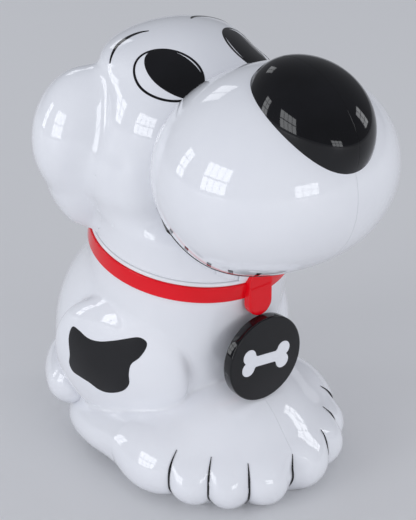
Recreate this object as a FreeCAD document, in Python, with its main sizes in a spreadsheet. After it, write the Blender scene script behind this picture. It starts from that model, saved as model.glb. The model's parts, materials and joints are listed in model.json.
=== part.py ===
import FreeCAD, Part
import Sketcher
import math
import os

# A puppy shaped treat jar: the head lifts off as the lid, and the body holds a round tub.
# Frame: millimetres, +Z up, the puppy looks along -Y, its own right side is -X.
# The origin is on the resting face, straight below the middle of the neck seam.

# Half sizes are named wide (X), deep (Y) and tall (Z); places are out (X), back (Y) and up (Z).
# A lean turns about X, a turn about Z and a roll about Y, all in degrees.
SIZES = {
    "Neck": {
        "neck_height": 151, "neck_lean": 10.3, "neck_radius": 61.8, "barrel_length": 105,
        "shoulder_reach": 40,
        "wall": 2.8, "fit_gap": 0.3, "close_gap": 0.1, "lid_gap": 0.3,
    },
    "Body forms": {
        "belly_back": 33.5, "belly_up": 64, "belly_wide": 67.6, "belly_deep": 68.3,
        "belly_tall": 84,
        "haunch_out": 54.3, "haunch_back": 3.5, "haunch_up": 73.5, "haunch_wide": 15.6,
        "haunch_deep": 48, "haunch_tall": 43.9, "haunch_lean": -11.4, "haunch_turn": -21.1,
        "haunch_roll": 3.6,
        "heel_out": 53.5, "heel_back": 4, "heel_up": 24, "heel_wide": 23, "heel_deep": 53,
        "heel_tall": 18.5, "heel_lean": -9, "heel_turn": 3,
        "sole_out": 51, "sole_back": 5, "sole_up": 12, "sole_wide": 20.5, "sole_deep": 51,
        "sole_tall": 16,
        "core_radius": 50, "core_top": 44,
        "chest_back": -40, "chest_up": 22, "chest_wide": 58, "chest_deep": 54, "chest_tall": 46,
        "toe_a_out": 62, "toe_a_back": -42, "toe_a_up": 19, "toe_a_radius": 14.5,
        "toe_b_out": 52, "toe_b_back": -62, "toe_b_up": 19, "toe_b_radius": 13.5,
        "toe_c_out": 37, "toe_c_back": -78, "toe_c_up": 16, "toe_c_radius": 13,
        "toe_d_out": 13.5, "toe_d_back": -89.8, "toe_d_up": 14, "toe_d_radius": 14.8,
        "tail_back": 26, "tail_up": 40, "tail_curl_radius": 64, "tail_radius": 15,
        "tail_tip_radius": 16, "tail_start": 95, "tail_sweep": 62,
    },
    "Head forms": {
        "cranium_back": 7, "cranium_up": 252.5, "cranium_wide": 50, "cranium_deep": 51.4,
        "cranium_tall": 26.1, "cranium_lean": 6.2,
        "skull_back": 12.5, "skull_up": 215.3, "skull_wide": 46.4, "skull_deep": 55.4,
        "skull_tall": 50.1,
        "cheek_out": 45.2, "cheek_back": -4.1, "cheek_up": 205.1, "cheek_wide": 32.6,
        "cheek_deep": 30.6, "cheek_tall": 37.5,
        "nape_straight": 18, "nape_dome": 30, "head_split_back": 18,
        "muzzle_back": -76.9, "muzzle_up": 220.2, "muzzle_wide": 73.8, "muzzle_deep": 69.6,
        "muzzle_tall": 59.8, "muzzle_lean": -9.5,
        "nose_back": -103.3, "nose_up": 253.3, "nose_wide": 41, "nose_deep": 45.9,
        "nose_tall": 36.7, "nose_lean": 24.8,
        "nose_rim_back": -105.4, "nose_rim_up": 262.3, "nose_rim_wide": 35.3,
        "nose_rim_deep": 47, "nose_rim_lean": 28.6,
        "ear_out": 55.6, "ear_back": 40, "ear_up": 219.4, "ear_wide": 26.7, "ear_deep": 27,
        "ear_tall": 37.7, "ear_roll": -20,
        "lobe_out": 63.4, "lobe_back": 40, "lobe_up": 188.4, "lobe_wide": 12, "lobe_deep": 20,
        "lobe_tall": 33.4, "lobe_roll": 14.4,
        "lip_back": -61.4, "lip_up": 142, "lip_lean": -26, "lip_depth": 7, "lip_wall": 1.6,
        "lip_height": 50, "slot_wide": 3.4, "slot_high": 3, "slot_step": 14,
    },
    "Tub and collar": {
        "rim_height": 2.6, "rim_radius": 63, "tub_wall": 2, "tub_straight": 20, "tub_depth": 118,
        "tub_floor_radius": 46, "tub_floor": 2.4,
        "collar_height": 11, "collar_wall": 2, "tab_wide": 17.4, "tab_front": -66,
        "tab_thick": 4.8, "tab_top": 139, "tag_radius": 27.9, "tag_thick": 7, "tag_front": -71.1,
        "tag_up": 88.8, "tag_edge": 0.8, "stem_radius": 7, "stem_length": 17,
    },
    "Base": {
        "floor_thick": 4.5, "hatch_back": 12, "hatch_radius": 46, "hatch_flange": 2,
        "hatch_hole_radius": 40, "hatch_bolt_circle": 43, "hatch_screws": 4,
        "boss_radius": 3.4, "boss_height": 8, "screw_radius": 1.2, "screw_slack": 0.05,
        "screw_head_radius": 2.4, "screw_head_high": 1.2,
    },
    "Lid base": {
        "plate_thick": 2.5, "skirt_radius": 55.9, "skirt_wall": 2.4, "skirt_drop": 12,
        "seal_drop": 4, "seal_high": 3, "seal_depth": 1.2, "seal_gap": 0.3,
        "lid_boss_reach": 35, "lid_boss_radius": 4, "lid_boss_height": 14, "web_wide": 3,
        "lid_screw_radius": 1.4, "lid_screw_head_radius": 3, "lid_screw_head_high": 1.6,
    },
    "Battery case": {
        "cell_radius": 5.25, "cell_length": 44.5, "cell_pitch": 11.6, "cell_count": 3,
        "case_wall": 1.6, "case_half_long": 25.4, "case_half_wide": 18.4, "case_high": 14,
        "cell_rise": 9.1, "contact_thick": 0.5, "button_long": 1.3, "contact_radius": 2.8,
        "door_gap": 0.4, "door_thick": 2.3, "door_sink": 0.5, "arm_wide": 20, "arm_thick": 2,
        "hinge_reach": 3.5, "hinge_drop": 1.9, "barrel_radius": 1.6, "pivot_radius": 1,
        "pivot_slack": 0.05, "lug_thick": 3, "lug_gap": 0.4, "lug_radius": 2.3,
    },
    "Sound parts": {
        "speaker_front": -40, "speaker_up": 25, "speaker_radius": 21, "speaker_lip": 2,
        "basket_radius": 16.5, "basket_back_radius": 11, "basket_depth": 9, "magnet_depth": 7,
        "cone_wall": 0.8, "dust_cap_radius": 5, "bracket_half_wide": 24, "bracket_high": 48,
        "bracket_thick": 2, "bracket_foot": 12, "bracket_screw_out": 16,
        "board_near": 26, "board_far": 46, "board_half_wide": 24, "board_thick": 1.6,
        "post_high": 6, "post_radius": 2.5, "post_out": 20, "post_inset": 3,
        "chip_side": 12, "chip_high": 2,
        "sensor_out": 40, "sensor_radius": 2.4, "sensor_flange": 3.6, "sensor_flange_high": 2,
        "switch_out": 40, "switch_half_wide": 4, "switch_half_long": 7, "switch_high": 5.6,
        "slot_half_wide": 1.4, "slot_half_long": 5, "knob_half_wide": 1.1, "knob_long": 4,
        "knob_drop": 1.5, "knob_rise": 3, "knob_end_gap": 0.5,
    },
}

REACH = 400

doc = FreeCAD.newDocument("TreatJar")
sheet = doc.addObject("Spreadsheet::Sheet", "Sheet")
row = 1
for group, cells in SIZES.items():
    sheet.set("A%d" % row, group)
    row += 1
    for alias, value in cells.items():
        sheet.set("A%d" % row, alias)
        sheet.set("B%d" % row, str(value))
        sheet.setAlias("B%d" % row, alias)
        row += 1
doc.recompute()

ALIASES = [alias for cells in SIZES.values() for alias in cells]


def size(alias):
    return float(sheet.get(alias))


def cell(text):
    """Turn an expression on sheet names into one that the document can follow."""
    words = []
    word = ""
    for letter in str(text) + " ":
        if letter.isalnum() or letter == "_":
            word += letter
            continue
        words.append("Sheet." + word if word in ALIASES else word)
        words.append(letter)
        word = ""
    return "".join(words).strip()


NECK = "placement(vector(0; 0; neck_height); rotation(vector(1; 0; 0); neck_lean))"


def place(item, x="0", y="0", z="0", turn="rotation(0; 0; 0)", neck=False):
    """Bind where an object stands; neck counts along the leaning neck from its seam."""
    here = "placement(vector(%s; %s; %s); %s)" % (x, y, z, turn)
    item.setExpression("Placement", cell(NECK + " * " + here if neck else here))
    return item


def bind(item, **sizes):
    for name, expression in sizes.items():
        item.setExpression(name, cell(expression))
    return item


def cylinder(name, radius, height, **where):
    item = doc.addObject("Part::Cylinder", name)
    bind(item, Radius=radius, Height=height)
    return place(item, **where)


def box(name, long, wide, high, x="0", y="0", z="0", **where):
    item = doc.addObject("Part::Box", name)
    bind(item, Length=long, Width=wide, Height=high)
    return place(item, x=x, y=y, z=z, **where)


def blob(name, key, side=0, shrink="0"):
    """A leaning ellipsoid from the sheet; side is -1 on the puppy's right, 1 on its left."""
    item = doc.addObject("Part::Ellipsoid", name)
    bind(item, Radius2=key + "_wide - " + shrink, Radius3=key + "_deep - " + shrink,
         Radius1=key + "_tall - " + shrink)
    angles = [key + ending for ending in ("_turn", "_roll", "_lean")]
    turn, roll, lean = [angle if angle in ALIASES else "0" for angle in angles]
    out = "%d * %s_out" % (side, key) if side else "0"
    spin = "rotation(%d * %s; %d * %s; %s)" % (side or 1, turn, side or 1, roll, lean)
    return place(item, x=out, y=key + "_back", z=key + "_up", turn=spin)


def ball(name, key, side, shrink="0"):
    """A sphere from the sheet, with its poles to the right and left, where others cover them."""
    item = doc.addObject("Part::Sphere", name)
    bind(item, Radius=key + "_radius - " + shrink)
    return place(item, x="%d * %s_out" % (side, key), y=key + "_back", z=key + "_up",
                 turn="rotation(0; 90; 0)")


def fuse(name, items):
    item = doc.addObject("Part::MultiFuse", name)
    item.Shapes = items
    return item


def common(name, items):
    item = doc.addObject("Part::MultiCommon", name)
    item.Shapes = items
    return item


def cut(name, base, tool):
    item = doc.addObject("Part::Cut", name)
    item.Base = base
    item.Tool = tool
    return item


def mirror(name, source):
    item = doc.addObject("Part::Mirroring", name)
    item.Source = source
    item.Base = (0, 0, 0)
    item.Normal = (1, 0, 0)
    return item


PIECES = []


def piece(item, label):
    """Name the solid that becomes a file of its own."""
    item.Label = label
    PIECES.append(item)
    return item


def on_neck(item):
    return place(item, neck=True)


def body_plane(body, role):
    for feature in body.Origin.OriginFeatures:
        if feature.Role == role:
            return feature
    raise ValueError(role)


def outline(body, name, role, points):
    """A closed sketch of straight lines; each corner is bound to a pair of expressions."""
    sketch = body.newObject("Sketcher::SketchObject", name)
    sketch.AttachmentSupport = [(body_plane(body, role), "")]
    sketch.MapMode = "FlatFace"
    values = [[evaluate(u), evaluate(v)] for u, v in points]
    count = len(points)
    for i in range(count):
        start = FreeCAD.Vector(values[i][0], values[i][1], 0)
        end = FreeCAD.Vector(values[(i + 1) % count][0], values[(i + 1) % count][1], 0)
        sketch.addGeometry(Part.LineSegment(start, end), False)
    for i in range(count):
        sketch.addConstraint(Sketcher.Constraint("Coincident", i, 2, (i + 1) % count, 1))
    for i, corner in enumerate(points):
        for axis, kind, zero_line in ((0, "DistanceX", -2), (1, "DistanceY", -1)):
            if corner[axis] == "0":
                sketch.addConstraint(Sketcher.Constraint("PointOnObject", i, 1, zero_line))
                continue
            constraint = Sketcher.Constraint(kind, -1, 1, i, 1, values[i][axis])
            index = sketch.addConstraint(constraint)
            sketch.setExpression("Constraints[%d]" % index, cell(corner[axis]))
    return sketch


def evaluate(expression):
    """The present value of an expression on sheet names."""
    probe = sheet.evalExpression(cell(expression))
    return float(probe.Value if hasattr(probe, "Value") else probe)


def turned(name, points):
    """A body made by one full turn of an outline, (radius, height), about its own Z."""
    body = doc.addObject("PartDesign::Body", name + "_body")
    sketch = outline(body, name + "_outline", "XZ_Plane", points)
    turn = body.newObject("PartDesign::Revolution", name + "_turn")
    turn.Profile = sketch
    turn.ReferenceAxis = (sketch, ["V_Axis"])
    turn.Angle = 360
    return body


# Half spaces that the forms are trimmed with
right_side = box("right_side", REACH, 2 * REACH, 2 * REACH, -REACH, -REACH, -REACH)
right_above_ground = box("right_above_ground", REACH, 2 * REACH, REACH, -REACH, -REACH, 0)
above_floor = box("above_floor", 2 * REACH, 2 * REACH, REACH, -REACH, -REACH, "floor_thick")
below_rim = box("below_rim", 2 * REACH, 2 * REACH, 2 * REACH, -REACH, -REACH, -2 * REACH,
                neck=True)
above_seam = box("above_seam", 2 * REACH, 2 * REACH, REACH, -REACH, -REACH,
                 "rim_height + lid_gap", neck=True)
face_side = box("face_side", 2 * REACH, REACH, 2 * REACH, -REACH, "head_split_back - %d" % REACH,
                -REACH)


# Body: two glued halves, each with a haunch, a hind foot and a front paw of four toes
TOES = ("toe_a", "toe_b", "toe_c", "toe_d")


def above_shoulder(name, shrink):
    """The space round the neck, above a slope that falls away from the collar's lower edge."""
    edge = "neck_radius - " + shrink
    level = "-collar_height - fit_gap - " + shrink
    return on_neck(turned(name, [
        (edge, level),
        (edge + " + shoulder_reach", level + " - shoulder_reach"),
        (edge + " + shoulder_reach", "2 * collar_height"),
        (edge, "2 * collar_height"),
    ]))


def body_form(name, side, shrink, drop):
    """The outer form of one side of the body, or its hollow when shrink is the wall."""
    barrel = cylinder(name + "_barrel", "neck_radius - " + shrink, "barrel_length + " + drop,
                      z="-barrel_length", neck=True)
    forms = [barrel, blob(name + "_belly", "belly", 0, shrink)]
    forms.append(blob(name + "_chest", "chest", 0, shrink))
    for key in ("haunch", "heel", "sole"):
        forms.append(blob(name + "_" + key, key, side, shrink))
    for key in TOES:
        forms.append(ball(name + "_" + key, key, side, shrink))
    return cut(name, fuse(name + "_forms", forms), above_shoulder(name + "_shoulder", shrink))


def hatch_bosses(name, radius, height, side, base="0"):
    """Cylinders on the bolt circle of the base hatch, on one side or all round."""
    items = []
    count = int(size("hatch_screws"))
    for i in range(count):
        angle = 180 / count + i * 360 / count
        if side and math.cos(math.radians(angle)) * side < 0:
            continue
        along = "hatch_bolt_circle * cos(%g)" % angle
        across = "hatch_back + hatch_bolt_circle * sin(%g)" % angle
        items.append(cylinder("%s_%d" % (name, i), radius, height, x=along, y=across, z=base))
    return fuse(name, items)


outer_form = body_form("right_outer", -1, "0", "0")
standing_form = common("right_standing", [outer_form, right_above_ground])
body_solid = common("body_right_solid", [standing_form, below_rim])
hollow_form = body_form("right_hollow", -1, "wall", "wall")
core = cylinder("body_core", "core_radius", "core_top")
hollow_whole = fuse("right_hollow_whole", [hollow_form, core])
body_hollow = common("body_right_hollow", [hollow_whole, above_floor])
body_walls = cut("body_right_walls", body_solid, body_hollow)
bosses = hatch_bosses("boss_right", "boss_radius", "boss_height", -1, "floor_thick - close_gap")
body_bossed = fuse("body_right_bossed", [body_walls, bosses])
hatch_rebate = cylinder("hatch_rebate", "hatch_radius + fit_gap", "hatch_flange + close_gap",
                        y="hatch_back", z="0")
hatch_hole = cylinder("hatch_hole", "hatch_hole_radius", "3 * floor_thick", y="hatch_back",
                      z="-floor_thick")
pilot_holes = hatch_bosses("pilot_holes", "screw_radius + screw_slack", "4 * boss_height", 0,
                           "-boss_height")
FACE_ON = "rotation(vector(1; 0; 0); 90)"
tag_seat = cylinder("tag_seat", "tag_radius + fit_gap", "4 * tag_thick",
                    y="tag_front + tag_thick + fit_gap", z="tag_up", turn=FACE_ON)
stem_hole = cylinder("stem_hole", "stem_radius + close_gap", "4 * stem_length",
                     y="tag_front + 3 * stem_length", z="tag_up", turn=FACE_ON)
body_cuts = fuse("body_cuts", [hatch_rebate, hatch_hole, pilot_holes, tag_seat, stem_hole])
body_right = piece(cut("body_right", body_bossed, body_cuts), "body_shell_right")
body_left = piece(mirror("body_left", body_right), "body_shell_left")


# Tail: a separate hollow curl glued on behind the right haunch
def tail_form(name, shrink):
    curl = doc.addObject("Part::Torus", name + "_curl")
    bind(curl, Radius1="tail_curl_radius", Radius2="tail_radius - " + shrink, Angle3="tail_sweep")
    place(curl, y="tail_back", z="tail_up", turn="rotation(tail_start; 0; 0)")
    ends = [curl]
    for part_name, radius, angle in (("_root", "tail_radius", "tail_start"),
                                     ("_tip", "tail_tip_radius", "tail_start + tail_sweep")):
        end = doc.addObject("Part::Sphere", name + part_name)
        bind(end, Radius=radius + " - " + shrink)
        place(end, x="tail_curl_radius * cos(%s)" % angle,
              y="tail_back + tail_curl_radius * sin(%s)" % angle, z="tail_up")
        ends.append(end)
    return fuse(name, ends)


tail_walls = cut("tail_walls", tail_form("tail_outer", "0"), tail_form("tail_hollow", "wall"))
left_solid = mirror("body_left_solid", body_solid)
tail_trim = cut("tail_trim", tail_walls, body_solid)
piece(cut("tail_piece", tail_trim, left_solid), "tail")


# Head: a face shell and a back shell that meet behind the cheeks
def head_form(name, shrink, drop):
    nape = cylinder(name + "_nape", "neck_radius - " + shrink, "nape_straight + " + drop,
                    z="rim_height - " + drop, neck=True)
    dome = doc.addObject("Part::Ellipsoid", name + "_dome")
    bind(dome, Radius1="nape_dome - " + shrink, Radius2="neck_radius - " + shrink,
         Radius3="neck_radius - " + shrink)
    place(dome, z="rim_height + nape_straight", neck=True)
    forms = [nape, dome, blob(name + "_cranium", "cranium", 0, shrink)]
    forms.append(blob(name + "_skull", "skull", 0, shrink))
    forms.append(blob(name + "_cheek_right", "cheek", -1, shrink))
    forms.append(blob(name + "_cheek_left", "cheek", 1, shrink))
    return fuse(name, forms)


head_solid = common("head_solid", [head_form("head_outer", "0", "0"), above_seam])
head_walls = cut("head_walls", head_solid, head_form("head_hollow", "wall", "2 * wall"))


def lid_bosses(name, radius, height, base, webs=False):
    """Posts at the four screw places of the lid, with webs out to the neck wall."""
    items = []
    for across in (-1, 1):
        for along in (-1, 1):
            tag = "%s_%d%d" % (name, across + 1, along + 1)
            x = "%d * lid_boss_reach" % across
            y = "%d * lid_boss_reach" % along
            items.append(cylinder(tag, radius, height, x=x, y=y, z=base, neck=True))
            if webs:
                web = box(tag + "_web", "neck_radius - wall / 2 - lid_boss_reach * sqrt(2)",
                          "web_wide", height, 0, "-web_wide / 2", 0)
                spin = "rotation(%g; 0; 0)" % math.degrees(math.atan2(along, across))
                shift = " * placement(vector(0; -web_wide / 2; 0); rotation(0; 0; 0))"
                here = "placement(vector(%s; %s; %s); %s)" % (x, y, base, spin)
                web.setExpression("Placement", cell(NECK + " * " + here + shift))
                items.append(web)
    return fuse(name, items)


plate_top = "rim_height + lid_gap + plate_thick"
posts = lid_bosses("lid_posts", "lid_boss_radius", "lid_boss_height", plate_top, webs=True)
post_holes = lid_bosses("lid_post_holes", "lid_screw_radius + screw_slack",
                        "lid_boss_height - wall", plate_top)
head_posted = fuse("head_posted", [head_walls, posts])
head_drilled = cut("head_drilled", head_posted, post_holes)
muzzle_hollow = blob("muzzle_hollow", "muzzle", 0, "wall")
face_half = common("face_half", [head_drilled, face_side])
piece(cut("face", face_half, muzzle_hollow), "head_front")
piece(cut("head_rear", head_drilled, face_side), "head_back")

# Muzzle and nose: right and left halves that meet on the middle plane
muzzle_outer = blob("muzzle_outer", "muzzle")
muzzle_shell = cut("muzzle_shell", muzzle_outer, blob("muzzle_inside", "muzzle", 0, "wall"))
muzzle_clear = cut("muzzle_clear", muzzle_shell, head_solid)
muzzle_right = piece(common("muzzle_half", [muzzle_clear, right_side]), "muzzle_right")
piece(mirror("muzzle_other_half", muzzle_right), "muzzle_left")
nose_edge = doc.addObject("Part::Ellipse", "nose_edge")
bind(nose_edge, MajorRadius="nose_rim_deep", MinorRadius="nose_rim_wide")
place(nose_edge, y="nose_rim_back", z="nose_rim_up",
      turn="rotation(vector(1; 0; 0); nose_rim_lean) * rotation(90; 0; 0)")
nose_post = doc.addObject("Part::Extrusion", "nose_post")
nose_post.Base = nose_edge
nose_post.DirMode = "Normal"
nose_post.Solid = True
nose_post.Symmetric = True
bind(nose_post, LengthFwd="4 * nose_rim_wide")
nose_block = common("nose_block", [blob("nose_form", "nose"), nose_post])
nose_cap = cut("nose_cap", nose_block, blob("nose_seat", "muzzle"))
nose_right = piece(common("nose_half", [nose_cap, right_side]), "nose_right")
piece(mirror("nose_other_half", nose_right), "nose_left")


# Ears: hollow lobes, open where they are glued to the head
def ear_form(name, side, shrink):
    return fuse(name, [blob("%s_%s" % (name, key), key, side, shrink) for key in ("ear", "lobe")])


def ear(name, side):
    walls = cut(name + "_walls", ear_form(name + "_outer", side, "0"),
                ear_form(name + "_inner", side, "wall"))
    return cut(name + "_trimmed", walls, head_solid)


ear_right = piece(ear("ear_r", -1), "ear_right")
piece(mirror("ear_l", ear_right), "ear_left")

# Mouth grille: the slotted lip under the muzzle that lets the sound out
lip_outside = cylinder("lip_outside", "neck_radius + close_gap + lip_wall", "lip_height",
                       z="rim_height + lid_gap", neck=True)
lip_inside = cylinder("lip_inside", "neck_radius + close_gap", "lip_height", z="rim_height",
                      neck=True)
lip_slab = box("lip_slab", "2 * rim_radius", "lip_depth", "2 * lip_height")
lip_turn = "rotation(vector(1; 0; 0); lip_lean)"
lip_here = "placement(vector(-rim_radius; lip_back; lip_up); %s)" % lip_turn
lip_shift = " * placement(vector(0; -lip_depth; -lip_depth); rotation(0; 0; 0))"
lip_slab.setExpression("Placement", cell(lip_here + lip_shift))
lip_ring = cut("lip_ring", lip_outside, lip_inside)
lip_band = common("lip_band", [lip_ring, lip_slab])
lip_clear = cut("lip_clear", lip_band, blob("lip_muzzle", "muzzle"))


def lip_level(angle):
    """How far up the neck the lip's lower edge lies at an angle from the front."""
    lean = math.radians(size("neck_lean"))
    rise = 1 / math.tan(math.radians(-size("lip_lean")))
    across = -size("neck_radius") * math.cos(math.radians(angle))
    level = size("neck_height") + across * math.sin(lean) - size("lip_up")
    depth = rise * (across * math.cos(lean) - size("lip_back"))
    return (depth - level) / (math.cos(lean) + rise * math.sin(lean))


slots = []
for step in range(-4, 5):
    angle = step * size("slot_step")
    slot = doc.addObject("Part::Box", "lip_slot_%d" % (step + 4))
    bind(slot, Length="slot_wide", Width="4 * lip_wall", Height="slot_high")
    spin = "rotation(%g; 0; 0)" % angle
    turn_up = "placement(vector(0; 0; %g); %s)" % (lip_level(angle), spin)
    front = "placement(vector(-slot_wide / 2; -neck_radius - 3 * lip_wall; 0); rotation(0; 0; 0))"
    slot.setExpression("Placement", cell("%s * %s * %s" % (NECK, turn_up, front)))
    slots.append(slot)
lip_slots = fuse("lip_slots", slots)
piece(cut("lip_slotted", lip_clear, lip_slots), "mouth_grille")

# Tub: the food liner, hung by its white rim on the neck of the body
tub_outside = "neck_radius - wall - fit_gap"
tub_inside = "neck_radius - wall - fit_gap - tub_wall"
tub = on_neck(turned("tub", [
    ("0", "-tub_depth"),
    ("tub_floor_radius", "-tub_depth"),
    (tub_outside, "-tub_straight"),
    (tub_outside, "0"),
    ("rim_radius", "0"),
    ("rim_radius", "rim_height"),
    (tub_inside, "rim_height"),
    (tub_inside, "-tub_straight"),
    ("tub_floor_radius - tub_wall", "tub_floor - tub_depth"),
    ("0", "tub_floor - tub_depth"),
]))
piece(tub, "tub")

# Collar: a red band round the neck with one tab in front
band_outside = "neck_radius + close_gap + collar_wall"
band = cut("collar_band",
           cylinder("band_outside", band_outside, "collar_height", z="-collar_height", neck=True),
           cylinder("band_inside", "neck_radius + close_gap", "3 * collar_height",
                    z="-2 * collar_height", neck=True))
tab_bottom = "tag_up + tag_radius + fit_gap"
tab_plate = box("tab_plate", "tab_wide", "tab_thick",
                "tab_top - (%s) - tab_wide / 2" % tab_bottom, "-tab_wide / 2", "tab_front",
                "%s + tab_wide / 2" % tab_bottom)
tab_end = cylinder("tab_end", "tab_wide / 2", "tab_thick", y="tab_front + tab_thick",
                   z="%s + tab_wide / 2" % tab_bottom, turn=FACE_ON)
tab_form = fuse("tab_form", [tab_plate, tab_end])
neck_core = cylinder("neck_core", "neck_radius + close_gap", "3 * collar_height",
                     z="-2 * collar_height", neck=True)
tab_clear = cut("tab_clear", tab_form, neck_core)
piece(fuse("collar_whole", [band, tab_clear]), "collar")

# Tag: a thick black disc on a stem that plugs into the chest
tag = turned("tag", [
    ("0", "0"),
    ("tag_radius - tag_edge", "0"),
    ("tag_radius", "tag_edge"),
    ("tag_radius", "tag_thick - tag_edge"),
    ("tag_radius - tag_edge", "tag_thick"),
    ("stem_radius", "tag_thick"),
    ("stem_radius", "tag_thick + stem_length"),
    ("0", "tag_thick + stem_length"),
])
TO_THE_BACK = "rotation(vector(1; 0; 0); -90)"
piece(place(tag, y="tag_front", z="tag_up", turn=TO_THE_BACK), "tag_disc")

# Base hatch and its screws
hatch = turned("hatch", [
    ("0", "0"),
    ("hatch_radius", "0"),
    ("hatch_radius", "hatch_flange"),
    ("hatch_hole_radius - fit_gap", "hatch_flange"),
    ("hatch_hole_radius - fit_gap", "floor_thick"),
    ("0", "floor_thick"),
])
place(hatch, y="hatch_back")
sinks = hatch_bosses("hatch_sinks", "screw_head_radius + close_gap",
                     "screw_head_high + close_gap", 0)
hatch_drill = hatch_bosses("hatch_drill", "screw_radius + screw_slack", "floor_thick", 0)
hatch_cuts = fuse("hatch_cuts", [sinks, hatch_drill])
piece(cut("hatch_drilled", hatch, hatch_cuts), "base_cover")


def screws(name, label, places, head_radius, head_high, shank_radius, shank_long, up, neck=False,
           head_down=True):
    """Identical screws as one group; the head's outer face is at up, the shank points up."""
    items = []
    for i, (x, y) in enumerate(places):
        tag = "%s_%d" % (name, i)
        base = up if head_down else "%s - (%s)" % (up, head_high)
        shank_base = "%s + (%s)" % (up, head_high) if head_down else \
            "%s - (%s) - (%s)" % (up, head_high, shank_long)
        head = cylinder(tag + "_head", head_radius, head_high, x=x, y=y, z=base, neck=neck)
        shank = cylinder(tag + "_shank", shank_radius, shank_long, x=x, y=y, z=shank_base,
                         neck=neck)
        items.append(fuse(tag, [head, shank]))
    group = doc.addObject("Part::Compound", name)
    group.Links = items
    return piece(group, label)


hatch_places = []
for i in range(int(size("hatch_screws"))):
    angle = 180 / size("hatch_screws") + i * 360 / size("hatch_screws")
    hatch_places.append(("hatch_bolt_circle * cos(%g)" % angle,
                         "hatch_back + hatch_bolt_circle * sin(%g)" % angle))
screws("hatch_screw", "base_screws", hatch_places, "screw_head_radius", "screw_head_high",
       "screw_radius", "boss_height", "close_gap")

# Lid base: the plate that closes the head, with the skirt that goes into the tub
plate_bottom = "rim_height + lid_gap"
plate_radius = "neck_radius - wall - close_gap"
seal_seat = "skirt_radius - seal_depth"
lid_blank = on_neck(turned("lid_blank", [
    ("0", plate_bottom),
    ("skirt_radius - skirt_wall", plate_bottom),
    ("skirt_radius - skirt_wall", "-skirt_drop"),
    ("skirt_radius", "-skirt_drop"),
    ("skirt_radius", "-seal_drop - seal_high"),
    (seal_seat, "-seal_drop - seal_high"),
    (seal_seat, "-seal_drop"),
    ("skirt_radius", "-seal_drop"),
    ("skirt_radius", plate_bottom),
    (plate_radius, plate_bottom),
    (plate_radius, plate_top),
    ("0", plate_top),
]))
case_opening = box("case_opening", "2 * case_half_long", "2 * case_half_wide",
                   "4 * plate_thick", "-case_half_long", "-case_half_wide", "0", neck=True)
lid_screw_holes = lid_bosses("lid_screw_holes", "lid_screw_radius + screw_slack",
                             "4 * plate_thick", "0")
sensor_hole = cylinder("sensor_hole", "sensor_radius + close_gap", "4 * plate_thick",
                       x="-sensor_out", z="0", neck=True)
switch_slot = box("switch_slot", "2 * slot_half_wide", "2 * slot_half_long", "4 * plate_thick",
                  "switch_out - slot_half_wide", "-slot_half_long", "0", neck=True)
hinge_back = "case_half_wide - door_gap + hinge_reach"
hinge_up = "rim_height + lid_gap - hinge_drop"
ALONG_X = "rotation(vector(0; 1; 0); 90)"


def hinge_lug(name, side):
    start = "arm_wide / 2 + lug_gap" if side > 0 else "-arm_wide / 2 - lug_gap - lug_thick"
    block = box(name + "_block", "lug_thick", "2 * lug_radius", "hinge_drop + plate_thick / 2",
                start, "%s - lug_radius" % hinge_back, hinge_up, neck=True)
    eye = cylinder(name + "_eye", "lug_radius", "lug_thick", x=start, y=hinge_back, z=hinge_up,
                   turn=ALONG_X, neck=True)
    return [block, eye]


pivot_hole = cylinder("pivot_hole", "pivot_radius + pivot_slack", "2 * arm_wide",
                      x="-arm_wide", y=hinge_back, z=hinge_up, turn=ALONG_X, neck=True)


def board_posts(name, radius, height, base):
    items = []
    for side in (-1, 1):
        for end, where in enumerate(("board_near + post_inset", "board_far - post_inset")):
            items.append(cylinder("%s_%d%d" % (name, side + 1, end), radius, height,
                                  x="%d * post_out" % side, y=where, z=base, neck=True))
    return items


def bracket_pins(name, radius, height, base):
    middle = "speaker_front + speaker_lip + bracket_thick + bracket_foot / 2"
    return [cylinder("%s_%d" % (name, side + 1), radius, height,
                     x="%d * bracket_screw_out" % side, y=middle, z=base, neck=True)
            for side in (-1, 1)]


lid_adds = fuse("lid_adds", [lid_blank] + hinge_lug("lug_r", -1) + hinge_lug("lug_l", 1)
                + board_posts("post", "post_radius", "post_high", plate_top))
lid_holes = fuse("lid_holes", [case_opening, lid_screw_holes, sensor_hole, switch_slot, pivot_hole]
                 + board_posts("post_hole", "screw_radius + screw_slack", "post_high", plate_top)
                 + bracket_pins("foot_hole", "screw_radius + screw_slack", "4 * plate_thick",
                                "0"))
piece(cut("lid_base_cut", lid_adds, lid_holes), "lid_base")

seal = on_neck(turned("seal", [
    (seal_seat + " + close_gap / 2", "-seal_drop - seal_high + close_gap"),
    (tub_inside + " - seal_gap", "-seal_drop - seal_high + close_gap"),
    (tub_inside + " - seal_gap", "-seal_drop - close_gap"),
    (seal_seat + " + close_gap / 2", "-seal_drop - close_gap"),
]))
piece(seal, "seal_ring")
lid_places = [("%d * lid_boss_reach" % a, "%d * lid_boss_reach" % b)
              for a in (-1, 1) for b in (-1, 1)]
screws("lid_screw", "lid_screws", lid_places, "lid_screw_head_radius", "lid_screw_head_high",
       "lid_screw_radius", "plate_thick + lid_boss_height - 2 * wall",
       plate_bottom + " - lid_screw_head_high", neck=True)

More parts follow.
